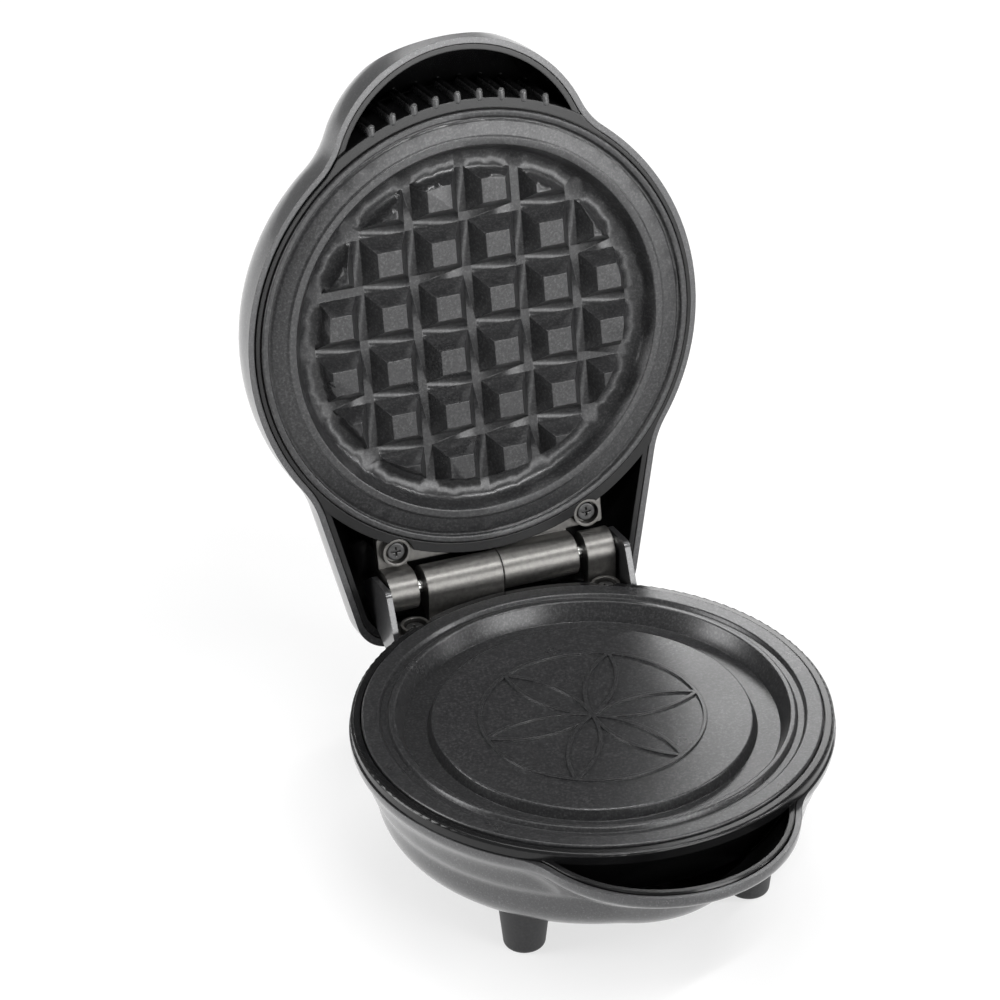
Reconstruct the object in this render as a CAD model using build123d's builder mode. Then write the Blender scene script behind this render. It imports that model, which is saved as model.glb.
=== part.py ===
"""Mini waffle maker with its lid standing open: a round base on four feet, a lid with a grab
handle, a patterned lower plate, a waffle-grid upper plate and a two-leaf hinge at the back.

Millimetres. The origin is on the table, under the middle of the open object, and the plates'
axis stands plate_y in front of it. +Z is up and the hinge is towards +Y, so the grab handle
faces -Y when the lid is shut.
"""
import os
from math import cos, radians, sin

from build123d import *

os.makedirs("parts", exist_ok=True)

# Driving sizes of the whole
foot_height = 11.5
casing_depth = 33.0
waffle_r = 50.8
open_angle = 100.8
closed_gap = 1.0
plate_y = -18.9

# Hinge: its axis lies behind the plates' axis and a little above the lower rim
hinge_y = 68.6
hinge_rise = 1.85
knuckle_r = 5.5
pin_r = 2.0
running_clearance = 0.05
fixed_clearance = 0.02
knuckle_gap = 0.15
centre_knuckle_end = 21.6
end_knuckle_start = 24.0
end_knuckle_end = 32.0
leaf_thickness = 2.5
leaf_front_y = 54.6
leaf_to_knuckle = 0.5
lower_leaf_depth = 5.5
upper_leaf_depth = 4.5
screw_x = 27.2
screw_y = 58.5
screw_r = 1.4
screw_head_r = 2.6
screw_head_height = 1.4
boss_r = 3.9
boss_wall = 0.8
boss_height = 2.4

# Casings: a circle with a grab lip in front, and on the lid a tail that wraps round the hinge
body_r = 62.6
lip_r = 36.9
lip_centre_y = 42.0
lip_blend_r = 20.0
tail_half_width = 47.5
tail_width_y = 45.0
tail_taper = 12.85
tail_end_y = 84.5
tail_corner_r = 9.0
tail_blend_r = 25.0
shell_wall = 1.6
liner_wall = 1.4
nest_clearance = 0.2

base_edge_depth = 4.2
base_side_depth = 20.0
base_draft_inset = 6.0
base_crown_inset = 13.0
base_lip_fade = ((9.0, 41.0), (13.0, 37.0), (17.0, 32.0), (20.0, 28.5))
base_lip_end_y = 27.3
lid_edge_depth = 2.0
lid_side_depth = 8.0
lid_crown_depth = 28.0
lid_crown_inset = 22.0
scoop_start_depth = 6.0
scoop_middle_y = 66.0
scoop_middle_depth = 18.5
scoop_end_y = 44.0
crown_steps = 4

# Plates
plate_r = 59.4
plate_flange_depth = 3.2
flange_top_depth = 0.3
bead_r = 52.2
lower_disc_r = 41.3
lower_disc_depth = 2.2
moat_depth = 5.0
lower_back_depth = 10.4
rosette_r = 29.0
rosette_line = 1.0
rosette_height = 0.5
rosette_petals = 6
grid_pitch = 15.0
grid_channel = 2.4
grid_cells = 6
grid_depth = 5.2
grid_r = 43.5
pyramid_taper = 30.0
upper_floor_wall = 1.6
pyramid_wall = 1.3
plate_post_ring = 22.0
plate_post_r = 3.2
plate_posts = 3

# Parts inside the casings
heater_ring_r = 36.0
heater_tube_r = 2.6
heater_gap_angle = 50.0
heater_lead = 7.0
seat_clearance = 0.1
reflector_sheet = 0.6
reflector_r = 48.0
thermostat_r = 8.5
thermostat_height = 4.5
fuse_r = 2.0
fuse_length = 14.0
fuse_y = 14.0
lamp_y = 30.0
lens_r = 3.0
lamp_r = 1.8
lamp_length = 6.0

# Bezel and ledge that hold each plate
bezel_depth = 1.1
bezel_reach = 20.0
plate_clearance = 0.35
ledge_width = 3.2
ledge_thickness = 1.0
liner_ring_r = 62.2
liner_ring_depth = 1.0
skirt_end_depth = 17.0
fin_pitch = 6.0
fin_count = 9
fin_thickness = 1.7
fin_out = 2.6

# Underside
foot_x = 31.0
foot_top_r = 7.0
foot_bottom_r = 5.3
foot_rounding = 1.6
foot_seat = 4.0
cover_r = 36.0
cover_opening_r = 30.0
cover_thickness = 2.1
cover_screw_ring = 33.0
cover_screws_count = 4
vent_count = 10
vent_ring = 18.0
vent_length = 9.0
vent_width = 2.0
cord_hole_depth = 22.5
cord_bore_r = 3.2
cord_sleeve_r = 4.8
cord_flange_r = 6.4
cord_flange_thickness = 1.6
cord_sleeve_length = 10.0
cord_collar_depth = 5.0

# Neck of the base that carries the lower hinge leaf between two cheeks
cheek_x = 34.7
cheek_wall = 1.6
cheek_rounding = 2.0
neck_heel_r = 10.0

# Places that follow from the sizes
rim_z = foot_height + casing_depth
hinge_z = rim_z + hinge_rise
upper_axis_depth = hinge_rise - closed_gap
inner_skin = shell_wall + nest_clearance
hollow_skin = inner_skin + liner_wall
leaf_back_depth = lower_leaf_depth + leaf_thickness

# The base opens outwards downwards, the lid outwards backwards; both have the hinge at +Y
base_plane = Plane(origin=(0, plate_y, rim_z), x_dir=(-1, 0, 0), z_dir=(0, 0, -1))
hinge_point = (0, plate_y + hinge_y, hinge_z)
closed_lid = Location((0, -hinge_y, -upper_axis_depth))
lid_plane = Plane(Location(hinge_point, (-open_angle, 0, 0)) * closed_lid)


def turning_plane(plane):
    """Plane through the axis of a casing: first coordinate outwards, second the depth."""
    return Plane(origin=plane.origin, x_dir=plane.x_dir, z_dir=-plane.y_dir)


def side_plane(plane):
    """Plane square to the hinge: first coordinate towards the hinge, second the depth."""
    return Plane(origin=plane.origin, x_dir=plane.y_dir, z_dir=plane.x_dir)


def turn(plane, points, mode=Mode.ADD, edge_rounding=0.0, rounded=()):
    """Turned body from an outline of (radius, depth), with the chosen corners rounded."""
    with BuildSketch(turning_plane(plane)) as profile:
        with BuildLine():
            Polyline(*points, close=True)
        make_face()
        if edge_rounding:
            corners = [vertices().sort_by_distance(points[corner])[0] for corner in rounded]
            fillet(corners, edge_rounding)
    revolve(profile.sketch, axis=Axis(plane.origin, plane.z_dir), mode=mode)


def blend_towards(centre, near, start_r, inset):
    """Point where a concave blend of the given centre leaves a circle that it touches."""
    away = (Vector(*centre) - Vector(*near)).normalized()
    return Vector(*near) + away * (start_r - inset)


def outline(plane, inset, lip_y, tail):
    """Casing outline drawn inwards by the inset: circle, grab lip and, on the lid, the tail."""
    to_lip = lip_r + lip_blend_r
    to_body = body_r + lip_blend_r
    blend_y = (to_lip**2 - to_body**2 - lip_y**2) / (2 * lip_y)
    blend_centre = ((to_body**2 - blend_y**2) ** 0.5, blend_y)
    lip_point = blend_towards(blend_centre, (0, -lip_y), lip_r, inset)
    body_point = blend_towards(blend_centre, (0, 0), body_r, inset)
    with BuildSketch(plane) as profile:
        with BuildLine():
            lip = TangentArc((0, inset - lip_y - lip_r), lip_point, tangent=(1, 0))
            blend = TangentArc(lip @ 1, body_point, tangent=lip % 1)
            if tail:
                outward = Vector(cos(radians(tail_taper)), sin(radians(tail_taper)))
                along = Vector(-sin(radians(tail_taper)), cos(radians(tail_taper)))
                wall = outward.X * tail_half_width + outward.Y * tail_width_y
                reach = ((body_r + tail_blend_r) ** 2 - (wall + tail_blend_r) ** 2) ** 0.5
                tail_centre = outward * (wall + tail_blend_r) + along * reach
                side_start = tail_centre - outward * (tail_blend_r + inset)
                leave = blend_towards((tail_centre.X, tail_centre.Y), (0, 0), body_r, inset)
                corner_y = tail_end_y - inset - tail_corner_r
                corner_x = (wall - inset - tail_corner_r - outward.Y * corner_y) / outward.X
                side_end = Vector(corner_x, corner_y) + outward * tail_corner_r
                body = TangentArc(blend @ 1, leave, tangent=blend % 1)
                tail_blend = TangentArc(body @ 1, side_start, tangent=body % 1)
                side = Line(tail_blend @ 1, side_end)
                corner = TangentArc(side @ 1, (corner_x, tail_end_y - inset), tangent=side % 1)
                Line(corner @ 1, (0, tail_end_y - inset))
            else:
                TangentArc(blend @ 1, (0, body_r - inset), tangent=blend % 1)
            mirror(about=Plane.YZ)
        make_face()
    return profile.sketch


def crown(start_depth, end_depth, start_inset, inset):
    """Depth and inset of each section round the shoulder of a casing, as a quarter ellipse."""
    turns = [radians(90 * step / crown_steps) for step in range(1, crown_steps + 1)]
    return [(start_depth + (end_depth - start_depth) * sin(turn_angle),
             start_inset + inset * (1 - cos(turn_angle))) for turn_angle in turns]


def base_form(skin, edge_depth):
    """Form of the base at a given distance inside its painted face; its lip fades downwards."""
    draft = base_draft_inset / (base_side_depth - base_edge_depth)
    sections = [(edge_depth, skin, lip_centre_y)]
    sections += [(depth, skin + draft * (depth - base_edge_depth), lip_y) for depth, lip_y in base_lip_fade]
    shoulder = crown(base_side_depth, casing_depth - skin, skin + base_draft_inset, base_crown_inset)
    sections += [(depth, inset, base_lip_end_y) for depth, inset in shoulder]
    with BuildPart() as form:
        loft([outline(base_plane.offset(depth), inset, lip_y, False) for depth, inset, lip_y in sections])
    return form.part


def lid_form(skin, edge_depth):
    """Form of the lid at a given distance inside its painted face, its lip scooped behind."""
    sections = [(edge_depth, skin), (lid_side_depth, skin)]
    sections += crown(lid_side_depth, lid_crown_depth - skin, skin, lid_crown_inset - skin)
    with BuildPart() as form:
        loft([outline(lid_plane.offset(depth), inset, lip_centre_y, True) for depth, inset in sections])
        with BuildSketch(side_plane(lid_plane)) as profile:
            with BuildLine():
                apex = (-lip_centre_y - lip_r, scoop_start_depth - skin)
                middle = (-scoop_middle_y, scoop_middle_depth - skin)
                end = (-scoop_end_y, lid_crown_depth - skin + nest_clearance)
                outer = (-lip_centre_y - 2 * lip_r, scoop_start_depth - skin)
                far = (-lip_centre_y - 2 * lip_r, 2 * lid_crown_depth)
                back = (-scoop_end_y, 2 * lid_crown_depth)
                ThreePointArc(apex, middle, end)
                Polyline(end, back, far, outer, apex)
            make_face()
        extrude(profile.sketch, amount=2 * lip_r, both=True, mode=Mode.SUBTRACT)
    return form.part


def neck_profile(inset, rounding):
    """Side outline of the neck: cheeks that rise beside the hinge, and a rounded heel."""
    heel_r = neck_heel_r - inset
    with BuildSketch(side_plane(base_plane)) as profile:
        with BuildLine():
            Polyline(
                (hinge_y - 16, heel_r + 2),
                (hinge_y - 14.5, base_edge_depth),
                (hinge_y - 8.6, -7.5),
                (hinge_y + 3.4, -5.5),
                (hinge_y + heel_r - 0.6, -0.5),
                (hinge_y + heel_r * 0.6, heel_r * 0.8 - hinge_rise),
                (hinge_y, heel_r - hinge_rise),
                (hinge_y - knuckle_r - 1, heel_r + 0.6),
                close=True,
            )
        make_face()
        if rounding:
            fillet(vertices(), rounding)
    return profile.sketch


def hinge_leaf(plane, axis_depth, leaf_depth, bore_r):
    """Cast hinge half: a screwed leaf with two counterbored bosses and two bored knuckles."""
    side = side_plane(plane)
    leaf_end_y = hinge_y - knuckle_r - leaf_to_knuckle
    leaf_y = (leaf_front_y + leaf_end_y) / 2
    with BuildSketch(plane.offset(leaf_depth)) as profile:
        with Locations((0, leaf_y)):
            RectangleRounded(2 * end_knuckle_end, leaf_end_y - leaf_front_y, boss_wall)
    extrude(profile.sketch, amount=leaf_thickness)
    for start, end in ((knuckle_gap, centre_knuckle_end), (-end_knuckle_end, -end_knuckle_start)):
        with BuildSketch(side.offset(start)) as profile:
            with Locations((hinge_y, axis_depth)):
                Circle(knuckle_r)
            arm_y = hinge_y - knuckle_r
            leaf_back = leaf_depth + leaf_thickness
            arm_bottom = (leaf_end_y - boss_r, leaf_back)
            arm_top = (leaf_end_y - boss_r, leaf_depth)
            Polygon(arm_bottom, arm_top, (arm_y, leaf_depth), (arm_y, axis_depth),
                    (hinge_y, axis_depth), (hinge_y, axis_depth + knuckle_r), (arm_y, leaf_back),
                    align=None)
        extrude(profile.sketch, amount=end - start)
    with BuildSketch(plane.offset(leaf_depth)) as profile:
        with Locations((-screw_x, screw_y), (screw_x, screw_y)):
            Circle(boss_r)
    extrude(profile.sketch, amount=-boss_height)
    with BuildSketch(plane.offset(leaf_depth - boss_height)) as profile:
        with Locations((-screw_x, screw_y), (screw_x, screw_y)):
            Circle(boss_r - boss_wall)
    extrude(profile.sketch, amount=boss_height - seat_clearance, mode=Mode.SUBTRACT)
    with BuildSketch(plane.offset(leaf_depth - boss_height)) as profile:
        with Locations((-screw_x, screw_y), (screw_x, screw_y)):
            Circle(screw_r + seat_clearance)
    extrude(profile.sketch, amount=boss_height + leaf_thickness, mode=Mode.SUBTRACT)
    with BuildSketch(side.offset(-end_knuckle_end - 1)) as profile:
        with Locations((hinge_y, axis_depth)):
            Circle(bore_r)
    extrude(profile.sketch, amount=2 * end_knuckle_end + 2, mode=Mode.SUBTRACT)


def hinge_screws(plane, leaf_depth):
    """Two pan-head screws that hold a hinge leaf to its posts."""
    seat = leaf_depth - seat_clearance
    places = ((-screw_x, screw_y), (screw_x, screw_y))
    with BuildSketch(plane.offset(seat)) as profile:
        with Locations(*places):
            Circle(screw_head_r)
    extrude(profile.sketch, amount=-screw_head_height)
    fillet(edges().group_by(Axis(plane.origin, plane.z_dir))[0], screw_head_height / 3)
    with BuildSketch(plane.offset(seat - screw_head_height)) as profile:
        with Locations(*places):
            Rectangle(screw_head_r, screw_head_height / 3)
            Rectangle(screw_head_height / 3, screw_head_r)
    extrude(profile.sketch, amount=screw_head_height / 2, mode=Mode.SUBTRACT)
    with BuildSketch(plane.offset(seat)) as profile:
        with Locations(*places):
            Circle(screw_r)
    extrude(profile.sketch, amount=leaf_thickness + boss_height)


def post_holes(plane, leaf_depth):
    """Screw holes in the posts behind a hinge leaf."""
    with BuildSketch(plane.offset(leaf_depth)) as profile:
        with Locations((-screw_x, screw_y), (screw_x, screw_y)):
            Circle(screw_r + fixed_clearance)
    extrude(profile.sketch, amount=leaf_thickness + 2 * boss_height, mode=Mode.SUBTRACT)


def leaf_posts(plane, start_depth, end_depth):
    """Posts behind the hinge leaf for its two screws."""
    with BuildSketch(plane.offset(start_depth)) as profile:
        with Locations((-screw_x, screw_y), (screw_x, screw_y)):
            Circle(boss_r)
    extrude(profile.sketch, amount=end_depth - start_depth)


def plate_post_set(plane, start_depth):
    """Bored posts on the back of a plate, for the screws that hold the reflector."""
    with BuildSketch(plane.offset(start_depth)) as profile:
        with PolarLocations(plate_post_ring, plate_posts):
            Circle(plate_post_r)
    extrude(profile.sketch, amount=2 * heater_tube_r + 2 * seat_clearance)
    with BuildSketch(plane.offset(start_depth)) as profile:
        with PolarLocations(plate_post_ring, plate_posts):
            Circle(screw_r + fixed_clearance)
    extrude(profile.sketch, amount=3 * heater_tube_r, mode=Mode.SUBTRACT)


def plate_screw_set(plane, start_depth):
    """Screws through the reflector into the posts of a plate."""
    seat = start_depth + 2 * heater_tube_r + 3 * seat_clearance + reflector_sheet
    with BuildSketch(plane.offset(seat)) as profile:
        with PolarLocations(plate_post_ring, plate_posts):
            Circle(screw_head_r)
    extrude(profile.sketch, amount=screw_head_height)
    with BuildSketch(plane.offset(seat)) as profile:
        with PolarLocations(plate_post_ring, plate_posts):
            Circle(screw_r)
    extrude(profile.sketch, amount=start_depth + seat_clearance - seat)


def heater_loop(plane, start_depth):
    """Tubular heating element: an open loop whose two ends turn towards the hinge."""
    loop_plane = plane.offset(start_depth + heater_tube_r + seat_clearance)
    start_angle = 90 + heater_gap_angle / 2
    with BuildLine(loop_plane) as path:
        ring = CenterArc((0, 0), heater_ring_r, start_angle, 360 - heater_gap_angle)
    start_cut = Plane(origin=path.line @ 0, z_dir=path.line % 0)
    with BuildSketch(start_cut) as profile:
        Circle(heater_tube_r)
    sweep(profile.sketch, path=path.line)
    for end, way in ((0, -1), (1, 1)):
        pin_plane = Plane(origin=path.line @ end, z_dir=(path.line % end) * way)
        with BuildSketch(pin_plane) as profile:
            Circle(screw_r)
        extrude(profile.sketch, amount=heater_lead)


def reflector_pan(plane, start_depth):
    """Sheet-metal pan behind the heating element, with its edge under the plate's flange."""
    floor = start_depth + 2 * heater_tube_r + 3 * seat_clearance
    top = plate_flange_depth + seat_clearance
    edge_r = bead_r + 2.2
    slope = reflector_r + reflector_sheet / 2
    turn(plane, [(0, floor), (slope, floor), (edge_r, top), (edge_r + reflector_sheet, top),
                 (reflector_r + reflector_sheet, floor + reflector_sheet), (0, floor + reflector_sheet)])
    with BuildSketch(plane.offset(floor)) as profile:
        with PolarLocations(plate_post_ring, plate_posts):
            Circle(screw_r + seat_clearance)
    extrude(profile.sketch, amount=reflector_sheet, mode=Mode.SUBTRACT)


# Base shell: painted bowl with a grab lip in front and the neck for the hinge behind
base_outer = base_form(0, base_edge_depth)
base_inner = base_form(shell_wall, base_edge_depth - 1)
with BuildPart() as base_shell:
    add(base_outer)
    extrude(neck_profile(0, cheek_rounding), amount=cheek_x, both=True)
    add(base_inner, mode=Mode.SUBTRACT)
    extrude(neck_profile(cheek_wall, 0), amount=cheek_x - cheek_wall, both=True, mode=Mode.SUBTRACT)
    with BuildSketch(side_plane(base_plane)):
        with Locations((hinge_y - knuckle_r, leaf_back_depth - casing_depth / 2)):
            Rectangle(2 * (hinge_y - leaf_front_y), casing_depth)
    extrude(amount=cheek_x - cheek_wall, both=True, mode=Mode.SUBTRACT)
    leaf_posts(base_plane, leaf_back_depth, leaf_back_depth + boss_r)
    post_holes(base_plane, lower_leaf_depth)
    floor_depth = casing_depth - shell_wall
    with BuildSketch(base_plane.offset(floor_depth - cover_thickness)):
        Circle(cover_r + cheek_wall)
    extrude(amount=cover_thickness + seat_clearance)
    with BuildSketch(base_plane.offset(floor_depth - 2 * cover_thickness)):
        with PolarLocations(cover_screw_ring, cover_screws_count):
            Circle(screw_head_r)
    extrude(amount=2 * cover_thickness)
    with BuildSketch(base_plane.offset(floor_depth - 2 * cover_thickness)):
        Circle(cover_opening_r)
        with PolarLocations(cover_screw_ring, cover_screws_count):
            Circle(screw_r + fixed_clearance)
    extrude(amount=casing_depth, mode=Mode.SUBTRACT)
    with BuildSketch(base_plane.offset(casing_depth - cover_thickness)):
        Circle(cover_r + seat_clearance)
    extrude(amount=casing_depth, mode=Mode.SUBTRACT)
    cord_plane = Plane(origin=(0, plate_y, rim_z - cord_hole_depth), x_dir=(1, 0, 0), z_dir=(0, 1, 0))
    flange_seat_y = body_r - base_draft_inset - shell_wall
    with BuildSketch(cord_plane.offset(flange_seat_y - cord_collar_depth)):
        Circle(cord_flange_r + cheek_wall)
    extrude(amount=cord_collar_depth + cord_flange_thickness)
    with BuildSketch(cord_plane.offset(flange_seat_y)):
        Circle(cord_flange_r + seat_clearance)
    extrude(amount=casing_depth, mode=Mode.SUBTRACT)
    with BuildSketch(cord_plane):
        Circle(cord_sleeve_r + seat_clearance)
    extrude(amount=body_r, mode=Mode.SUBTRACT)
base_shell.part.label = "base_shell"
export_step(base_shell.part, "parts/base_shell.step")

# Cord bushing: grommet in the back of the base, below the swing of the lid
with BuildPart() as cord_bushing:
    with BuildSketch(cord_plane.offset(flange_seat_y + cord_flange_thickness)):
        Circle(cord_flange_r)
    extrude(amount=-cord_flange_thickness + seat_clearance)
    with BuildSketch(cord_plane.offset(flange_seat_y + cord_flange_thickness)):
        Circle(cord_sleeve_r)
    extrude(amount=-cord_sleeve_length)
    fillet(edges().filter_by(GeomType.CIRCLE).sort_by(Axis.Y)[-1], cord_flange_thickness / 3)
    with BuildSketch(cord_plane):
        Circle(cord_bore_r)
    extrude(amount=2 * body_r, mode=Mode.SUBTRACT)
cord_bushing.part.label = "cord_bushing"
export_step(cord_bushing.part, "parts/cord_bushing.step")

# Base liner: black ring round the lower plate, its ledge, a skirt and the lining of the lip
base_liner_outer = base_form(inner_skin, base_edge_depth - 0.6)
base_liner_inner = base_form(hollow_skin, base_edge_depth - 1)
ring_inner_r = plate_r + plate_clearance
ledge_top = plate_flange_depth + seat_clearance
ledge_inner_r = plate_r - ledge_width
with BuildPart() as base_liner:
    add(base_liner_outer)
    add(base_liner_inner, mode=Mode.SUBTRACT)
    skirt_r = body_r - inner_skin
    skirt_start_r = skirt_r - liner_wall / 2
    skirt_end_r = skirt_start_r - base_draft_inset * 0.8
    turn(base_plane, [(skirt_start_r - liner_wall, base_edge_depth), (skirt_start_r, base_edge_depth),
                      (skirt_end_r, skirt_end_depth), (skirt_end_r - liner_wall, skirt_end_depth)])
    add(base_liner_outer, mode=Mode.INTERSECT)
    with BuildSketch(base_plane.offset(skirt_end_depth)):
        Circle(body_r)
    extrude(amount=casing_depth, mode=Mode.SUBTRACT)
    turn(base_plane, [(ring_inner_r, liner_ring_depth), (liner_ring_r, liner_ring_depth),
                      (liner_ring_r, base_edge_depth - fixed_clearance),
                      (skirt_r, base_edge_depth - fixed_clearance), (skirt_start_r, base_edge_depth + ledge_thickness),
                      (ledge_inner_r, base_edge_depth + ledge_thickness), (ledge_inner_r, ledge_top),
                      (ring_inner_r, ledge_top)], edge_rounding=0.8, rounded=(1,))
    with BuildSketch(base_plane.offset(base_edge_depth + ledge_thickness + seat_clearance)):
        with Locations((0, hinge_y)):
            Rectangle(2 * cheek_x + 2 * cheek_wall, 2 * (hinge_y - leaf_front_y) + 2 * boss_r)
    extrude(amount=casing_depth, mode=Mode.SUBTRACT)
    with BuildSketch(base_plane):
        with Locations((-screw_x, screw_y), (screw_x, screw_y)):
            Circle(boss_r + plate_clearance)
    extrude(amount=casing_depth, mode=Mode.SUBTRACT)
base_liner.part.label = "base_liner"
export_step(base_liner.part, "parts/base_liner.step")

# Lower plate: flat disc with a raised six-petal rosette, a moat, a bead and a flat flange
groove_depth = flange_top_depth + 0.9
rosette_ring = Circle(rosette_r + rosette_line / 2) - Circle(rosette_r - rosette_line / 2)
rosette = rosette_ring
for petal_place in PolarLocations(rosette_r, rosette_petals):
    rosette += petal_place * rosette_ring & Circle(rosette_r)
with BuildPart() as lower_plate:
    moat_wall = 1.2
    turn(base_plane, [
        (0, lower_disc_depth), (lower_disc_r, lower_disc_depth), (lower_disc_r + moat_wall, moat_depth),
        (waffle_r - 2 * moat_wall, moat_depth), (waffle_r, 0), (bead_r, 0), (bead_r + 0.6, groove_depth),
        (bead_r + 2.2, groove_depth), (bead_r + 2.9, flange_top_depth), (plate_r, flange_top_depth),
        (plate_r, plate_flange_depth), (bead_r + 1.6, plate_flange_depth),
        (waffle_r - moat_wall, lower_back_depth), (0, lower_back_depth)],
        edge_rounding=0.5, rounded=(1, 4, 5, 8, 9))
    rosette_plane = base_plane.offset(lower_disc_depth)
    with BuildSketch(rosette_plane):
        add(rosette)
    extrude(amount=-rosette_height)
    plate_post_set(base_plane, lower_back_depth)
lower_plate.part.label = "lower_plate"
export_step(lower_plate.part, "parts/lower_plate.step")

# Upper plate: waffle grid of blunt pyramids inside a bead and a flat flange
upper_back_depth = grid_depth + upper_floor_wall
with BuildPart() as pyramid_hollows:
    with BuildSketch(lid_plane.offset(upper_back_depth)):
        with GridLocations(grid_pitch, grid_pitch, grid_cells, grid_cells):
            Rectangle(grid_pitch - grid_channel - 2 * pyramid_wall, grid_pitch - grid_channel - 2 * pyramid_wall)
    extrude(amount=pyramid_wall - upper_back_depth, taper=pyramid_taper)
    turn(lid_plane, [(0, 0), (grid_r - grid_depth / 2 - 2 * pyramid_wall, 0),
                     (grid_r - pyramid_wall, upper_back_depth), (0, upper_back_depth)], mode=Mode.INTERSECT)

with BuildPart() as upper_plate:
    with BuildSketch(lid_plane.offset(grid_depth)):
        with GridLocations(grid_pitch, grid_pitch, grid_cells, grid_cells):
            Rectangle(grid_pitch - grid_channel, grid_pitch - grid_channel)
    extrude(amount=-grid_depth, taper=pyramid_taper)
    turn(lid_plane, [(0, -1), (grid_r - grid_depth / 2, -1), (grid_r, grid_depth), (0, grid_depth)],
         mode=Mode.INTERSECT)
    turn(lid_plane, [
        (0, grid_depth - fixed_clearance), (waffle_r - 3.4, grid_depth - fixed_clearance), (waffle_r - 0.6, 0),
        (bead_r, 0), (bead_r + 0.7, flange_top_depth + 0.2), (bead_r + 4.1, flange_top_depth + 0.2),
        (bead_r + 4.4, groove_depth), (bead_r + 5.2, groove_depth), (bead_r + 5.5, flange_top_depth),
        (plate_r, flange_top_depth), (plate_r, plate_flange_depth), (bead_r + 1.6, plate_flange_depth),
        (waffle_r + 0.6, upper_back_depth), (0, upper_back_depth)],
        edge_rounding=0.4, rounded=(2, 3, 8, 9))
    add(pyramid_hollows.part, mode=Mode.SUBTRACT)
    plate_post_set(lid_plane, upper_back_depth)
upper_plate.part.label = "upper_plate"
export_step(upper_plate.part, "parts/upper_plate.step")

# Heating elements, reflectors and their screws, one set behind each plate
with BuildPart() as lower_heater:
    heater_loop(base_plane, lower_back_depth)
lower_heater.part.label = "lower_heater"
export_step(lower_heater.part, "parts/lower_heater.step")

with BuildPart() as upper_heater:
    heater_loop(lid_plane, upper_back_depth)
upper_heater.part.label = "upper_heater"
export_step(upper_heater.part, "parts/upper_heater.step")

with BuildPart() as lower_reflector:
    reflector_pan(base_plane, lower_back_depth)
lower_reflector.part.label = "lower_reflector"
export_step(lower_reflector.part, "parts/lower_reflector.step")

with BuildPart() as upper_reflector:
    reflector_pan(lid_plane, upper_back_depth)
upper_reflector.part.label = "upper_reflector"
export_step(upper_reflector.part, "parts/upper_reflector.step")

with BuildPart() as lower_plate_screws:
    plate_screw_set(base_plane, lower_back_depth)
lower_plate_screws.part.label = "lower_plate_screws"
export_step(lower_plate_screws.part, "parts/lower_plate_screws.step")

with BuildPart() as upper_plate_screws:
    plate_screw_set(lid_plane, upper_back_depth)
upper_plate_screws.part.label = "upper_plate_screws"
export_step(upper_plate_screws.part, "parts/upper_plate_screws.step")

# Thermostat and thermal fuse, both against the back of the lower plate
with BuildPart() as thermostat:
    with BuildSketch(base_plane.offset(lower_back_depth + seat_clearance)):
        Circle(thermostat_r)
    extrude(amount=thermostat_height)
    with BuildSketch(base_plane.offset(lower_back_depth + seat_clearance + thermostat_height / 2)):
        with Locations((-thermostat_r, 0), (thermostat_r, 0)):
            Rectangle(thermostat_r, fuse_r)
    extrude(amount=reflector_sheet)
thermostat.part.label = "thermostat"
export_step(thermostat.part, "parts/thermostat.step")

with BuildPart() as thermal_fuse:
    fuse_plane = side_plane(base_plane).offset(-fuse_length / 2)
    with BuildSketch(fuse_plane):
        with Locations((-fuse_y, lower_back_depth + seat_clearance + fuse_r)):
            Circle(fuse_r)
    extrude(amount=fuse_length)
thermal_fuse.part.label = "thermal_fuse"
export_step(thermal_fuse.part, "parts/thermal_fuse.step")

# Bottom cover with vents, its screws and the terminal block that stands on it
with BuildPart() as bottom_cover:
    with BuildSketch(base_plane.offset(casing_depth)):
        Circle(cover_r)
        with PolarLocations(cover_screw_ring, cover_screws_count):
            Circle(screw_r + seat_clearance, mode=Mode.SUBTRACT)
        with PolarLocations(vent_ring, vent_count):
            SlotOverall(vent_length, vent_width, mode=Mode.SUBTRACT)
    extrude(amount=-cover_thickness + seat_clearance)
bottom_cover.part.label = "bottom_cover"
export_step(bottom_cover.part, "parts/bottom_cover.step")

with BuildPart() as cover_screws:
    with BuildSketch(base_plane.offset(casing_depth)):
        with PolarLocations(cover_screw_ring, cover_screws_count):
            Circle(screw_head_r)
    extrude(amount=screw_head_height / 2)
    with BuildSketch(base_plane.offset(casing_depth)):
        with PolarLocations(cover_screw_ring, cover_screws_count):
            Circle(screw_r)
    extrude(amount=-3 * cover_thickness)
cover_screws.part.label = "cover_screws"
export_step(cover_screws.part, "parts/cover_screws.step")

with BuildPart() as terminal_block:
    block_length = 20.0
    block_width = 9.0
    block_height = 8.0
    with BuildSketch(base_plane.offset(casing_depth - cover_thickness)):
        Rectangle(block_length, block_width)
    extrude(amount=-block_height)
    with BuildSketch(base_plane.offset(casing_depth - cover_thickness - block_height)):
        with GridLocations(block_length / 3, 1, 3, 1):
            Circle(screw_r)
    extrude(amount=block_height / 2, mode=Mode.SUBTRACT)
terminal_block.part.label = "terminal_block"
export_step(terminal_block.part, "parts/terminal_block.step")

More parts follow.
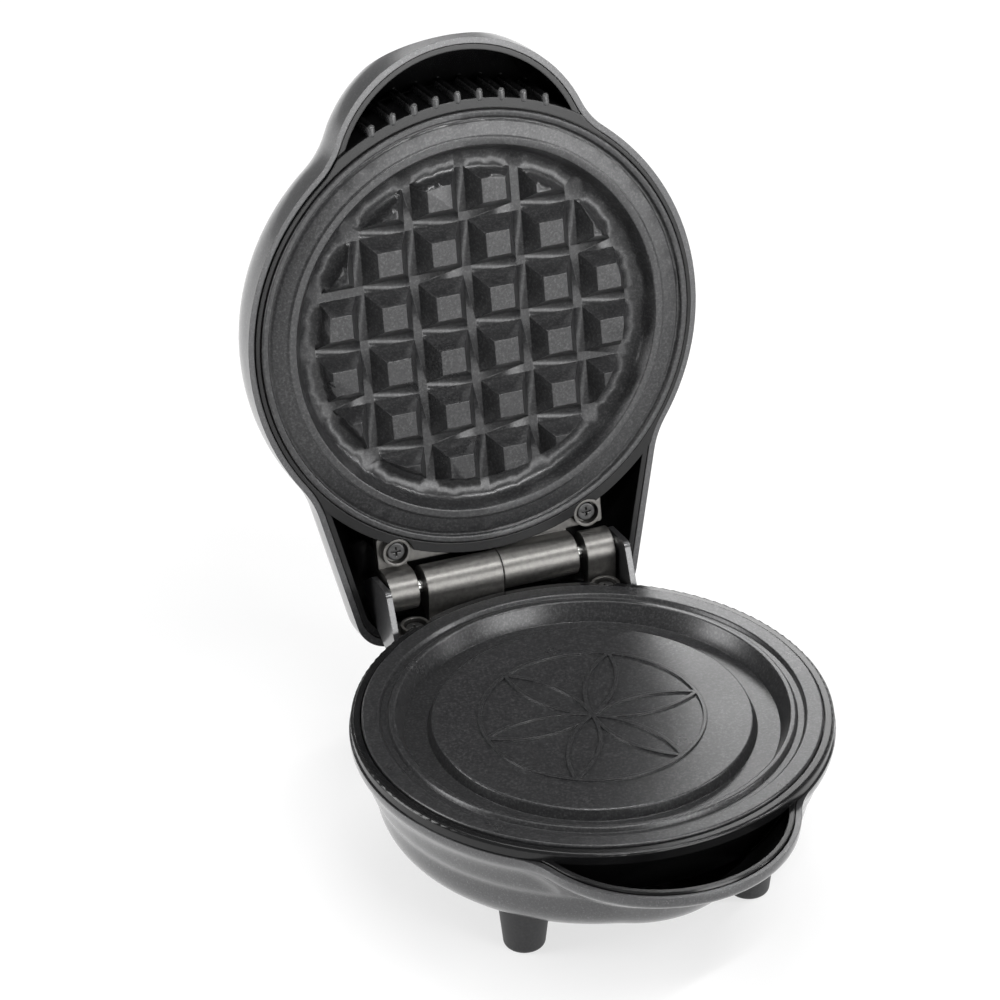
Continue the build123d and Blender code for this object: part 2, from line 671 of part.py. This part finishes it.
# Four tapered feet with rounded ends, let into the underside of the bowl
foot_places = {
    "foot_front_left": (-foot_x, plate_y - foot_x),
    "foot_front_right": (foot_x, plate_y - foot_x),
    "foot_rear_left": (-foot_x, plate_y + foot_x),
    "foot_rear_right": (foot_x, plate_y + foot_x),
}
for foot_name, (foot_at_x, foot_at_y) in foot_places.items():
    with BuildPart() as foot:
        with BuildSketch(Plane.XY):
            with Locations((foot_at_x, foot_at_y)):
                Circle(foot_bottom_r)
        with BuildSketch(Plane.XY.offset(foot_height + foot_seat)):
            with Locations((foot_at_x, foot_at_y)):
                Circle(foot_top_r)
        loft(ruled=True)
        fillet(edges().sort_by(Axis.Z)[0], foot_rounding)
        add(base_outer, mode=Mode.SUBTRACT)
    foot.part.label = foot_name
    export_step(foot.part, f"parts/{foot_name}.step")

# Hinge: lower leaf on the neck, upper leaf on the lid, one pin through all four knuckles
with BuildPart() as lower_hinge_bracket:
    hinge_leaf(base_plane, -hinge_rise, lower_leaf_depth, pin_r + fixed_clearance)
lower_hinge_bracket.part.label = "lower_hinge_bracket"
export_step(lower_hinge_bracket.part, "parts/lower_hinge_bracket.step")

with BuildPart() as upper_hinge_bracket:
    hinge_leaf(lid_plane, upper_axis_depth, upper_leaf_depth, pin_r + running_clearance)
upper_hinge_bracket.part.label = "upper_hinge_bracket"
export_step(upper_hinge_bracket.part, "parts/upper_hinge_bracket.step")

with BuildPart() as lower_hinge_screws:
    hinge_screws(base_plane, lower_leaf_depth)
lower_hinge_screws.part.label = "lower_hinge_screws"
export_step(lower_hinge_screws.part, "parts/lower_hinge_screws.step")

with BuildPart() as upper_hinge_screws:
    hinge_screws(lid_plane, upper_leaf_depth)
upper_hinge_screws.part.label = "upper_hinge_screws"
export_step(upper_hinge_screws.part, "parts/upper_hinge_screws.step")

with BuildPart() as hinge_pin:
    pin_plane = Plane(origin=hinge_point, x_dir=(0, 1, 0), z_dir=(1, 0, 0))
    pin_head = 0.8
    with BuildSketch(pin_plane.offset(-end_knuckle_end - pin_head)):
        Circle(pin_r)
    extrude(amount=2 * end_knuckle_end + 2 * pin_head)
    with BuildSketch(pin_plane.offset(end_knuckle_end + seat_clearance)):
        Circle(pin_r + pin_head)
    extrude(amount=pin_head)
hinge_pin.part.label = "hinge_pin"
export_step(hinge_pin.part, "parts/hinge_pin.step")

# Lid shell: painted dome with the grab handle in front and the tail round the hinge
lid_outer = lid_form(0, lid_edge_depth)
lid_inner = lid_form(shell_wall, lid_edge_depth - 1)
with BuildPart() as lid_shell:
    add(lid_outer)
    add(lid_inner, mode=Mode.SUBTRACT)
    with BuildSketch(lid_plane.offset(lid_side_depth)):
        with Locations((0, -lamp_y)):
            Circle(lamp_r + 2 * seat_clearance)
    extrude(amount=casing_depth, mode=Mode.SUBTRACT)
lid_shell.part.label = "lid_shell"
export_step(lid_shell.part, "parts/lid_shell.step")

# Indicator lens on the crown, and the lamp behind it
with BuildPart() as indicator_lens:
    with BuildSketch(lid_plane.offset(lid_crown_depth)):
        with Locations((0, -lamp_y)):
            Circle(lens_r)
    extrude(amount=reflector_sheet)
    with BuildSketch(lid_plane.offset(lid_crown_depth)):
        with Locations((0, -lamp_y)):
            Circle(lamp_r + seat_clearance)
    extrude(amount=-shell_wall - seat_clearance)
indicator_lens.part.label = "indicator_lens"
export_step(indicator_lens.part, "parts/indicator_lens.step")

with BuildPart() as indicator_lamp:
    with BuildSketch(lid_plane.offset(lid_crown_depth - shell_wall - 2 * seat_clearance)):
        with Locations((0, -lamp_y)):
            Circle(lamp_r)
    extrude(amount=-lamp_length)
indicator_lamp.part.label = "indicator_lamp"
export_step(indicator_lamp.part, "parts/indicator_lamp.step")

# Lid liner: black lining of the dome, bezel and ledge round the upper plate, fins in the handle
lid_liner_outer = lid_form(inner_skin, bezel_depth)
lid_liner_inner = lid_form(hollow_skin, bezel_depth - 1)
with BuildPart() as lid_liner:
    add(lid_liner_outer)
    add(lid_liner_inner, mode=Mode.SUBTRACT)
    lining_start = lid_edge_depth + seat_clearance
    with BuildSketch(lid_plane.offset(lining_start)):
        Rectangle(4 * body_r, 4 * body_r)
    extrude(amount=-lining_start, mode=Mode.SUBTRACT)
    bezel_r = body_r - seat_clearance
    ledge_back = ledge_top + ledge_thickness
    turn(lid_plane, [(ring_inner_r, bezel_depth), (bezel_r, bezel_depth), (bezel_r, bezel_reach),
                     (bezel_r - liner_wall, bezel_reach), (bezel_r - liner_wall, ledge_back),
                     (ledge_inner_r, ledge_back), (ledge_inner_r, ledge_top), (ring_inner_r, ledge_top)])
    with BuildSketch(lid_plane.offset(bezel_depth - 1)):
        Circle(ring_inner_r)
    extrude(amount=ledge_top + 1 - bezel_depth, mode=Mode.SUBTRACT)
    with BuildSketch(lid_plane.offset(bezel_depth)):
        for fin in range(fin_count):
            fin_x = (fin - (fin_count - 1) / 2) * fin_pitch
            fin_y = (bezel_r**2 - fin_x**2) ** 0.5 + fin_out / 2 - liner_wall / 2
            with Locations((fin_x, -fin_y)):
                RectangleRounded(fin_thickness, fin_out + liner_wall, fin_thickness / 2.2)
    extrude(amount=bezel_reach - bezel_depth)
    with BuildSketch(lid_plane.offset(ledge_back)):
        with Locations((0, hinge_y)):
            Rectangle(2 * end_knuckle_end + 4 * seat_clearance, 2 * (hinge_y - leaf_front_y) + boss_r)
    extrude(amount=bezel_reach - ledge_back, mode=Mode.SUBTRACT)
    with BuildSketch(lid_plane):
        with Locations((-screw_x, screw_y), (screw_x, screw_y)):
            Circle(boss_r + plate_clearance)
    extrude(amount=bezel_reach, mode=Mode.SUBTRACT)
    leaf_posts(lid_plane, upper_leaf_depth + leaf_thickness, lid_crown_depth)
    post_holes(lid_plane, upper_leaf_depth)
    add(lid_liner_outer, mode=Mode.INTERSECT)
    with BuildSketch(lid_plane.offset(bezel_reach)):
        Circle(waffle_r - boss_r)
    extrude(amount=casing_depth, mode=Mode.SUBTRACT)
lid_liner.part.label = "lid_liner"
export_step(lid_liner.part, "parts/lid_liner.step")
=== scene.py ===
# %% [markdown]
# # Mini waffle maker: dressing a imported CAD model
# The CAD model gives every part its place and shape. This lesson gives each part a
# finish like that of a real waffle maker, rounds the waffle grid, adds the ribs of the
# handle, and sets up light and camera.

# %% Load the frame
import math

import bmesh
import bpy
from mathutils import Matrix, Vector


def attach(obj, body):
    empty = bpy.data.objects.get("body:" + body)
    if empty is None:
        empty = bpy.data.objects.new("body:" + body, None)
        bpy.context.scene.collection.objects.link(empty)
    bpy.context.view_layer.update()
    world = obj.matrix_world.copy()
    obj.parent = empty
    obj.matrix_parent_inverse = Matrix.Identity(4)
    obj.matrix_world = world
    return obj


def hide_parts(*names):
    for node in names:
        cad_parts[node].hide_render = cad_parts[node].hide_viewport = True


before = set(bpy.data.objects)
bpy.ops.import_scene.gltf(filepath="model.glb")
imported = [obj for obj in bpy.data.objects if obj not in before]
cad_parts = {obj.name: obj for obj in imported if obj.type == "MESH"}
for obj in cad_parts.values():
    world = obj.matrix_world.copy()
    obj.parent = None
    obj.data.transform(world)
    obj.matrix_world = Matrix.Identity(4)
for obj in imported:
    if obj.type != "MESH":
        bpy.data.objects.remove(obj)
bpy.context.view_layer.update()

# %% [markdown]
# ## Camera
# A product photograph is usually taken from far away with a long lens, so that circles
# stay regular. The camera below stands over a metre away and looks down at the plates.
# Its turn is written as three angles, because the object doesn't stand exactly in the
# middle of the picture.

# %% Camera
CAMERA_PLACE = (-0.37672, -0.96301, 0.73795)
CAMERA_TURN = (58.2022, 0.6025, -20.8270)
LENS_LENGTH = 172.26
SENSOR_WIDTH = 36.0
FARTHEST_SEEN = 20.0

camera_data = bpy.data.cameras.new("camera")
camera_data.lens = LENS_LENGTH
camera_data.sensor_width = SENSOR_WIDTH
camera_data.clip_end = FARTHEST_SEEN
camera = bpy.data.objects.new("camera", camera_data)
camera.location = CAMERA_PLACE
camera.rotation_euler = [math.radians(angle) for angle in CAMERA_TURN]
bpy.context.scene.collection.objects.link(camera)
bpy.context.scene.camera = camera
bpy.context.scene.view_settings.view_transform = "Standard"
print("camera stands", round(camera.location.length, 3), "m from the origin")

# %% [markdown]
# ## Floor and light
# Dark glossy things are lit by what they mirror. Wide soft panels give long highlights
# on the shells and short bright lines on the edges of the plates. The floor is pale,
# and a part of its white is added only for rays that look at it, so that it stays
# bright without throwing more light on the object.

# %% Pale floor
FLOOR_SIZE = 6.0
FLOOR_GREY = (0.84, 0.84, 0.84, 1)
FLOOR_GLOW = 0.68


def new_material(name):
    """A node material with a plain Principled shader, with its tree and shader."""
    made = bpy.data.materials.new(name)
    made.use_nodes = True
    tree = made.node_tree
    shader = tree.nodes["Principled BSDF"]
    return made, tree, shader


floor_bm = bmesh.new()
bmesh.ops.create_grid(floor_bm, x_segments=2, y_segments=2, size=FLOOR_SIZE / 2)
floor_mesh = bpy.data.meshes.new("floor")
floor_bm.to_mesh(floor_mesh)
floor_bm.free()
floor = bpy.data.objects.new("floor", floor_mesh)
bpy.context.scene.collection.objects.link(floor)

floor_material, tree, shader = new_material("pale_floor")
shader.inputs["Base Color"].default_value = FLOOR_GREY
shader.inputs["Roughness"].default_value = 0.9
shader.inputs["Specular IOR Level"].default_value = 0.1
ray = tree.nodes.new("ShaderNodeLightPath")
seen_or_mirrored = tree.nodes.new("ShaderNodeMath")
seen_or_mirrored.operation = "MAXIMUM"
looked_at = tree.nodes.new("ShaderNodeMath")
looked_at.operation = "MAXIMUM"
share = tree.nodes.new("ShaderNodeMath")
share.operation = "MULTIPLY"
share.inputs[1].default_value = FLOOR_GLOW
glow = tree.nodes.new("ShaderNodeEmission")
glow.inputs["Color"].default_value = (1, 1, 1, 1)
glow.inputs["Strength"].default_value = 1.0
blend = tree.nodes.new("ShaderNodeMixShader")
tree.links.new(ray.outputs["Is Camera Ray"], seen_or_mirrored.inputs[0])
tree.links.new(ray.outputs["Is Glossy Ray"], seen_or_mirrored.inputs[1])
tree.links.new(seen_or_mirrored.outputs[0], looked_at.inputs[0])
tree.links.new(ray.outputs["Is Transmission Ray"], looked_at.inputs[1])
tree.links.new(looked_at.outputs[0], share.inputs[0])
tree.links.new(share.outputs[0], blend.inputs["Fac"])
tree.links.new(shader.outputs["BSDF"], blend.inputs[1])
tree.links.new(glow.outputs["Emission"], blend.inputs[2])
tree.links.new(blend.outputs["Shader"], tree.nodes["Material Output"].inputs["Surface"])
floor.data.materials.append(floor_material)
print("floor", FLOOR_SIZE, "m wide")

# %% World and soft panels
WORLD_STRENGTH = 0.26
LAMP_AIM = (0.0, 0.0, 0.08)

world = bpy.data.worlds.new("studio")
bpy.context.scene.world = world
world.use_nodes = True
background = world.node_tree.nodes["Background"]
background.inputs["Color"].default_value = (1.0, 1.0, 1.0, 1)
background.inputs["Strength"].default_value = WORLD_STRENGTH


def soft_panel(name, place, size, watts):
    """A rectangular area lamp that faces the middle of the waffle maker."""
    data = bpy.data.lights.new(name, "AREA")
    data.shape = "RECTANGLE"
    data.size, data.size_y = size
    data.energy = watts
    lamp = bpy.data.objects.new(name, data)
    lamp.location = place
    lamp.rotation_mode = "QUATERNION"
    lamp.rotation_quaternion = (Vector(LAMP_AIM) - Vector(place)).to_track_quat("-Z", "Y")
    bpy.context.scene.collection.objects.link(lamp)


soft_panel("panel_front", (0.60, -1.30, 0.35), (0.8, 0.8), 13.0)
soft_panel("panel_left", (-1.15, 0.15, 0.50), (0.5, 1.0), 12.0)
soft_panel("panel_top", (0.10, 0.35, 1.30), (0.7, 0.4), 5.0)
soft_panel("strip_above", (0.20, -0.55, 1.15), (0.9, 0.06), 9.0)
soft_panel("strip_side", (0.95, -0.45, 0.60), (0.06, 0.8), 5.0)
soft_panel("panel_back", (0.35, 1.20, 0.75), (0.9, 0.3), 8.0)
print("lamps:", len(bpy.data.lights))

# %% [markdown]
# ## Finishes
# Every finish is a node material on Object coordinates, so the grain keeps its real
# size in metres. The helpers lead one grain into colour, roughness and height. The
# even values, such as coat and metal, stay on the shader's own sockets.

# %% Grain helpers
def grain(tree, scale, detail=3.0, roughness=0.6, stretch=(1, 1, 1)):
    """Noise on Object coordinates; scale is in features per metre."""
    coordinates = tree.nodes.new("ShaderNodeTexCoord")
    mapping = tree.nodes.new("ShaderNodeMapping")
    mapping.inputs["Scale"].default_value = stretch
    noise = tree.nodes.new("ShaderNodeTexNoise")
    noise.inputs["Scale"].default_value = scale
    noise.inputs["Detail"].default_value = detail
    noise.inputs["Roughness"].default_value = roughness
    tree.links.new(coordinates.outputs["Object"], mapping.inputs["Vector"])
    tree.links.new(mapping.outputs["Vector"], noise.inputs["Vector"])
    return noise


def ramp(tree, source, stops):
    """Colour ramp with the given (position, colour) stops."""
    node = tree.nodes.new("ShaderNodeValToRGB")
    node.color_ramp.elements[0].position = stops[0][0]
    node.color_ramp.elements[0].color = (*stops[0][1], 1)
    node.color_ramp.elements[1].position = stops[-1][0]
    node.color_ramp.elements[1].color = (*stops[-1][1], 1)
    for position, colour in stops[1:-1]:
        middle_stop = node.color_ramp.elements.new(position)
        middle_stop.color = (*colour, 1)
    tree.links.new(source, node.inputs["Fac"])
    return node


def spread(tree, source, low, high):
    """Map a 0 to 1 value onto low to high."""
    node = tree.nodes.new("ShaderNodeMapRange")
    node.inputs["To Min"].default_value = low
    node.inputs["To Max"].default_value = high
    tree.links.new(source, node.inputs["Value"])
    return node.outputs["Result"]


BEVEL_SAMPLES = 4


def bump(tree, shader, height, strength, distance, edge_radius=0.0004):
    """Height into the shader's normal, over edges that look slightly rounded."""
    softened = tree.nodes.new("ShaderNodeBevel")
    softened.samples = BEVEL_SAMPLES
    softened.inputs["Radius"].default_value = edge_radius
    node = tree.nodes.new("ShaderNodeBump")
    tree.links.new(softened.outputs["Normal"], node.inputs["Normal"])
    node.inputs["Strength"].default_value = strength
    node.inputs["Distance"].default_value = distance
    tree.links.new(height, node.inputs["Height"])
    tree.links.new(node.outputs["Normal"], shader.inputs["Normal"])


print("helpers ready")

# %% [markdown]
# ## Non-stick coating
# The plates are cast aluminium with a sprayed coating: charcoal, satin, with a fine
# pebbled grain that shows as light specks where the light grazes it. Two noises make
# it, a fine one for the specks and a wide one for the slow change of sheen.

# %% Non-stick coating
def nonstick(name, edge_radius):
    """Speckled charcoal coating over a casting with edges of the given radius."""
    made, tree, shader = new_material(name)
    specks = grain(tree, 1500.0, 2.0, 0.7)
    clouds = grain(tree, 45.0, 3.0)
    speck_colour = ramp(tree, specks.outputs["Fac"], [
        (0.30, (0.015, 0.015, 0.016)),
        (0.52, (0.027, 0.027, 0.028)),
        (0.72, (0.060, 0.060, 0.061)),
    ])
    tree.links.new(speck_colour.outputs["Color"], shader.inputs["Base Color"])
    tree.links.new(spread(tree, clouds.outputs["Fac"], 0.24, 0.34), shader.inputs["Roughness"])
    bump(tree, shader, specks.outputs["Fac"], 0.22, 0.00005, edge_radius)
    shader.inputs["Metallic"].default_value = 0.3
    shader.inputs["Specular IOR Level"].default_value = 0.6
    return made


coating = nonstick("nonstick_coating", 0.0003)
print(coating.name)

# %% [markdown]
# ## Painted shells
# The shells are pressed steel with dark grey metallic paint under a clear coat. The
# flakes are a very fine cell pattern; the coat gives the long soft highlight.

# %% Metallic paint
paint, tree, shader = new_material("gunmetal_paint")
coordinates = tree.nodes.new("ShaderNodeTexCoord")
flakes = tree.nodes.new("ShaderNodeTexVoronoi")
flakes.inputs["Scale"].default_value = 3200.0
tree.links.new(coordinates.outputs["Object"], flakes.inputs["Vector"])
flake_colour = ramp(tree, flakes.outputs["Color"], [
    (0.0, (0.040, 0.040, 0.042)),
    (0.75, (0.060, 0.060, 0.062)),
    (1.0, (0.110, 0.110, 0.114)),
])
orange_peel = grain(tree, 260.0, 2.0)
tree.links.new(flake_colour.outputs["Color"], shader.inputs["Base Color"])
tree.links.new(spread(tree, orange_peel.outputs["Fac"], 0.30, 0.40), shader.inputs["Roughness"])
bump(tree, shader, orange_peel.outputs["Fac"], 0.06, 0.0001)
shader.inputs["Metallic"].default_value = 0.55
shader.inputs["Coat Weight"].default_value = 0.9
shader.inputs["Coat Roughness"].default_value = 0.14
print(paint.name)

# %% [markdown]
# ## Black liner
# The liners are moulded in heat-resistant plastic, black and glossy. Moulded plastic is
# never a mirror, so a wide noise varies the gloss and a faint one ripples the surface.

# %% Black plastic
liner, tree, shader = new_material("black_plastic")
sheen_noise = grain(tree, 60.0, 3.0)
fine_noise = grain(tree, 900.0, 2.0)
liner_colour = ramp(tree, sheen_noise.outputs["Fac"], [
    (0.3, (0.0035, 0.0035, 0.0037)),
    (0.7, (0.0065, 0.0065, 0.0068)),
])
tree.links.new(liner_colour.outputs["Color"], shader.inputs["Base Color"])
tree.links.new(spread(tree, sheen_noise.outputs["Fac"], 0.16, 0.26), shader.inputs["Roughness"])
bump(tree, shader, fine_noise.outputs["Fac"], 0.04, 0.00005)
shader.inputs["Specular IOR Level"].default_value = 0.38
print(liner.name)

# %% [markdown]
# ## Metals
# The hinge is a zinc casting with a satin grain, the screws are blackened steel, the
# pans are bright sheet and the heating tube is dull, oxidised steel. One helper makes
# them all from a base colour, a roughness range and a grain.

# %% Metal finishes
def metal(name, dark, light, rough, scale, height, stretch=(1, 1, 1), metallic=1.0):
    """Metal whose colour and roughness follow one grain."""
    made, tree, shader = new_material(name)
    noise = grain(tree, scale, 4.0, 0.65, stretch)
    colour = ramp(tree, noise.outputs["Fac"], [(0.3, dark), (0.7, light)])
    tree.links.new(colour.outputs["Color"], shader.inputs["Base Color"])
    tree.links.new(spread(tree, noise.outputs["Fac"], *rough), shader.inputs["Roughness"])
    bump(tree, shader, noise.outputs["Fac"], 0.3, height)
    shader.inputs["Metallic"].default_value = metallic
    return made


hinge_metal = metal(
    "satin_zinc", dark=(0.115, 0.112, 0.107), light=(0.175, 0.171, 0.163),
    rough=(0.32, 0.44), scale=700.0, height=0.00003, metallic=0.9)
pin_steel = metal(
    "turned_steel", dark=(0.42, 0.42, 0.41), light=(0.58, 0.58, 0.56),
    rough=(0.18, 0.3), scale=900.0, height=0.00002, stretch=(0.1, 1, 1))
screw_steel = metal(
    "blackened_steel", dark=(0.05, 0.05, 0.05), light=(0.10, 0.10, 0.10),
    rough=(0.25, 0.4), scale=900.0, height=0.00003, metallic=0.8)
pan_steel = metal(
    "sheet_steel", dark=(0.45, 0.45, 0.44), light=(0.62, 0.62, 0.60),
    rough=(0.25, 0.38), scale=500.0, height=0.00003, stretch=(1, 0.08, 1))
bright_pan = metal(
    "aluminised_sheet", dark=(0.60, 0.60, 0.60), light=(0.78, 0.78, 0.77),
    rough=(0.2, 0.34), scale=500.0, height=0.00003, stretch=(0.08, 1, 1))
tube_steel = metal(
    "oxidised_tube", dark=(0.10, 0.09, 0.085), light=(0.24, 0.21, 0.19),
    rough=(0.4, 0.6), scale=350.0, height=0.00005)
cover_metal = metal(
    "cover_sheet", dark=(0.05, 0.05, 0.052), light=(0.085, 0.085, 0.088),
    rough=(0.42, 0.55), scale=800.0, height=0.00005, metallic=0.5)
print("metals made")

# %% [markdown]
# ## Rubber, bakelite and the lens
# Feet and bushing are matt black rubber, the control bodies are brown bakelite or
# ceramic, and the indicator is a small blue lens that passes light.

# %% Soft and moulded finishes
def moulding(name, dark, light, rough, scale, height, specular=0.4):
    """Matt moulded material with a pebbled skin."""
    made, tree, shader = new_material(name)
    noise = grain(tree, scale, 3.0, 0.6)
    colour = ramp(tree, noise.outputs["Fac"], [(0.3, dark), (0.7, light)])
    tree.links.new(colour.outputs["Color"], shader.inputs["Base Color"])
    tree.links.new(spread(tree, noise.outputs["Fac"], *rough), shader.inputs["Roughness"])
    bump(tree, shader, noise.outputs["Fac"], 0.35, height)
    shader.inputs["Specular IOR Level"].default_value = specular
    return made


foot_rubber = moulding(
    "foot_rubber", dark=(0.014, 0.014, 0.015), light=(0.030, 0.030, 0.031),
    rough=(0.42, 0.6), scale=1400.0, height=0.00005)
bushing_rubber = moulding(
    "bushing_rubber", dark=(0.008, 0.008, 0.008), light=(0.018, 0.018, 0.018),
    rough=(0.5, 0.7), scale=1200.0, height=0.00005)
control_body = moulding(
    "bakelite", dark=(0.035, 0.016, 0.009), light=(0.070, 0.035, 0.020),
    rough=(0.35, 0.5), scale=500.0, height=0.00004)
print("moulded finishes made")

# %% Blue lens
lens_glass, tree, shader = new_material("blue_lens")
lens_grain = grain(tree, 1800.0, 1.0)
lens_colour = ramp(tree, lens_grain.outputs["Fac"], [(0.3, (0.02, 0.09, 0.42)), (0.7, (0.05, 0.17, 0.62))])
tree.links.new(lens_colour.outputs["Color"], shader.inputs["Base Color"])
tree.links.new(spread(tree, lens_grain.outputs["Fac"], 0.08, 0.16), shader.inputs["Roughness"])
shader.inputs["Transmission Weight"].default_value = 0.35
shader.inputs["Coat Weight"].default_value = 0.4
print(lens_glass.name)

# %% [markdown]
# ## A finish for each CAD node
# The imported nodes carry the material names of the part, and each name leads to a finish.

# %% Give each CAD node its finish
slot_finishes = {
    "painted_shell": paint,
    "black_liner": liner,
    "cooking_plate": coating,
    "heater_tube": tube_steel,
    "steel_pan": pan_steel,
    "bright_pan": bright_pan,
    "screw_steel": screw_steel,
    "hinge_metal": hinge_metal,
    "pin_steel": pin_steel,
    "bottom_metal": cover_metal,
    "foot_rubber": foot_rubber,
    "bushing_rubber": bushing_rubber,
    "control_body": control_body,
    "lens": lens_glass,
}
for name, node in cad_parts.items():
    for index, used in enumerate(node.material_slots):
        key = used.material.name.split(".")[0] if used.material else ""
        print(name, "has", key)
        node.material_slots[index].material = slot_finishes.get(key, coating)

# %% [markdown]
# ## Rounded waffle grid
# The pyramids of the cast plate have softly rounded edges, and the light draws thin
# bright lines along them. The CAD mesh is made of loose triangles, so a copy of it is
# merged and its flat faces are joined first. Then the long straight edges of the
# pyramids are bevelled. Bevelling every edge would spoil the small fillets of the rim.

# %% Bevel the pyramids
LID_ANGLE = math.radians(100.8)
LID_ORIGIN = Vector((0.0, 0.06172, 0.11389))
LID_ALONG = Vector((0.0, math.cos(LID_ANGLE), -math.sin(LID_ANGLE)))
LID_OUT = Vector((0.0, math.sin(LID_ANGLE), math.cos(LID_ANGLE)))
GRID_RADIUS = 0.0445
GRID_FRONT = -0.001
FACES_DOWN_TO = 0.00515
EDGES_DOWN_TO = 0.0054
EDGE_ROUNDING = 0.00045
SHORTEST_ROUNDED_EDGE = 0.0016
LEAST_RIDGE = math.radians(20)
FLAT_WITHIN = math.radians(0.4)
SHARP_FROM = math.radians(32)
MERGE_DISTANCE = 0.000002


def on_lid(point):
    """Radius from the axis of the upper plate, and depth behind its rim."""
    offset = point - LID_ORIGIN
    return Vector((offset.x, offset.dot(LID_ALONG))).length, offset.dot(LID_OUT)


def merged_copy(node_name):
    """Mesh of a CAD node with its loose triangles joined."""
    bm = bmesh.new()
    bm.from_mesh(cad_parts[node_name].data)
    bmesh.ops.remove_doubles(bm, verts=bm.verts, dist=MERGE_DISTANCE)
    return bm


def add_piece(name, bm, material, body):
    """Turn a bmesh into a smooth-shaded piece that rides on a body."""
    mesh = bpy.data.meshes.new(name)
    bm.to_mesh(mesh)
    bm.free()
    mesh.materials.append(material)
    mesh.shade_smooth()
    mesh.set_sharp_from_angle(angle=SHARP_FROM)
    piece = bpy.data.objects.new(name, mesh)
    bpy.context.scene.collection.objects.link(piece)
    weighting = piece.modifiers.new("weighting", "WEIGHTED_NORMAL")
    weighting.keep_sharp = True
    weighting.weight = 100
    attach(piece, body)
    print(name, "has", len(mesh.polygons), "faces")
    return piece


grid_bm = merged_copy("upper_plate")
pyramid_faces = set()
for face in grid_bm.faces:
    radius, depth = on_lid(face.calc_center_median())
    if radius < GRID_RADIUS and GRID_FRONT < depth < FACES_DOWN_TO:
        pyramid_faces.add(face)
flat_edges = []
for edge in grid_bm.edges:
    if edge.link_faces and pyramid_faces.issuperset(edge.link_faces):
        flat_edges.append(edge)
flat_verts = list({vertex for edge in flat_edges for vertex in edge.verts})
bmesh.ops.dissolve_limit(grid_bm, angle_limit=FLAT_WITHIN, verts=flat_verts, edges=flat_edges)
pyramid_edges = []
for edge in grid_bm.edges:
    places = [on_lid(vertex.co) for vertex in edge.verts]
    inside = all(radius < GRID_RADIUS and depth < EDGES_DOWN_TO for radius, depth in places)
    if inside and len(edge.link_faces) == 2 and edge.calc_length() > SHORTEST_ROUNDED_EDGE:
        if edge.calc_face_angle_signed() > LEAST_RIDGE:
            pyramid_edges.append(edge)
bmesh.ops.bevel(grid_bm, geom=pyramid_edges, offset=EDGE_ROUNDING, segments=3, affect="EDGES",
                profile=0.5, material=-1, clamp_overlap=True)
print("bevelled", len(pyramid_edges), "pyramid edges")
waffle_grid = add_piece("waffle_grid_plate", grid_bm, coating, "lid")
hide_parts("upper_plate")

# %% [markdown]
# ## Ribs in the handle
# Behind the handle nine moulded ribs stand on the bezel. Their rounded front ends catch
# the light as a row of bright points. Each rib is a stretched cube with all its edges
# bevelled, laid round the CAD rib. The ribs belong to the black liner, but their colour is
# lighter than the liner's: painted light, so that they look lit in the shaded recess.

# %% Handle ribs
RIBS = 9
RIB_PITCH = 0.006
RIB_RING = 0.0624
RIB_SIZE = (0.0021, 0.0034, 0.0194)
RIB_STEP_OUT = 0.0007
RIB_STEP_BACK = 0.0008
RIB_ROUNDING = 0.00095

lid_axes = Matrix((Vector((1, 0, 0)), LID_ALONG, LID_OUT)).transposed().to_4x4()
rib_bm = bmesh.new()
for index in range(RIBS):
    rib_x = (index - (RIBS - 1) / 2) * RIB_PITCH
    rib_y = -math.sqrt(RIB_RING**2 - rib_x**2) - RIB_STEP_OUT
    rib_depth = RIB_STEP_BACK + RIB_SIZE[2] / 2
    centre = LID_ORIGIN + Vector((rib_x, 0, 0)) + LID_ALONG * rib_y + LID_OUT * rib_depth
    place = Matrix.Translation(centre) @ lid_axes @ Matrix.Diagonal((*RIB_SIZE, 1))
    bmesh.ops.create_cube(rib_bm, size=1.0, matrix=place)
bmesh.ops.bevel(rib_bm, geom=rib_bm.edges[:], offset=RIB_ROUNDING, segments=4, affect="EDGES",
                profile=0.5, material=-1, clamp_overlap=True)
bmesh.ops.recalc_face_normals(rib_bm, faces=rib_bm.faces)
# Painted light: the ribs are the liner's black plastic, coloured a lighter grey so that they look lit
# against the shaded recess.
rib_plastic_painted_lighter = moulding(
    "rib_plastic_painted_lighter", dark=(0.030, 0.030, 0.031), light=(0.060, 0.060, 0.061),
    rough=(0.22, 0.32), scale=900.0, height=0.00003, specular=0.7)
add_piece("handle_ribs", rib_bm, rib_plastic_painted_lighter, "lid")
